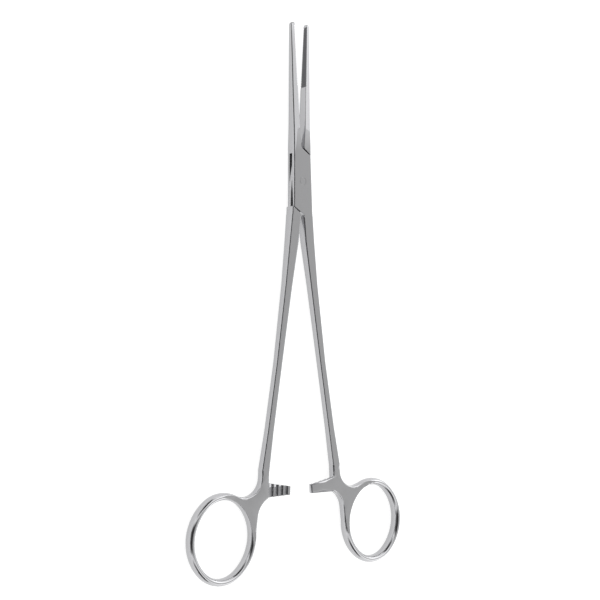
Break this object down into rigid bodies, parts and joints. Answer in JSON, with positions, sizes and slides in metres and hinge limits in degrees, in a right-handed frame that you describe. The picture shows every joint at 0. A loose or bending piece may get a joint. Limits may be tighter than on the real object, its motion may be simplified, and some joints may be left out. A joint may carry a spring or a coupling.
{
  "type": "hemostat forceps",
  "caption": "Slim straight locking forceps with a box lock, serrated jaw tips, ratchet bars and two oval finger rings.",
  "frame": {"origin": "lock pin's axis in the underside of the box lock", "axes": "+Y from the pin towards the jaw tips, along the middle line between the two halves; +Z the forceps' front face, up from the surface it lies on; +X to the right seen from the front"},
  "size_m": [0.0936, 0.1995, 0.0044],
  "materials": {
    "satin_stainless": "satin flats with polished sides and rings",
    "polished_stainless": "ground flush and polished"
  },
  "bodies": {
    "box_side": {"box_half": "satin_stainless", "lock_pin": "polished_stainless"},
    "tongue_side": {"tongue_half": "satin_stainless"}
  },
  "joints": [
    {"name": "box_lock", "type": "hinge", "parent": "box_side", "child": "tongue_side", "pos_m": [0, 0, 0], "axis": [0, 0, -1], "range_deg": [-5.2, 54.8]}
  ]
}
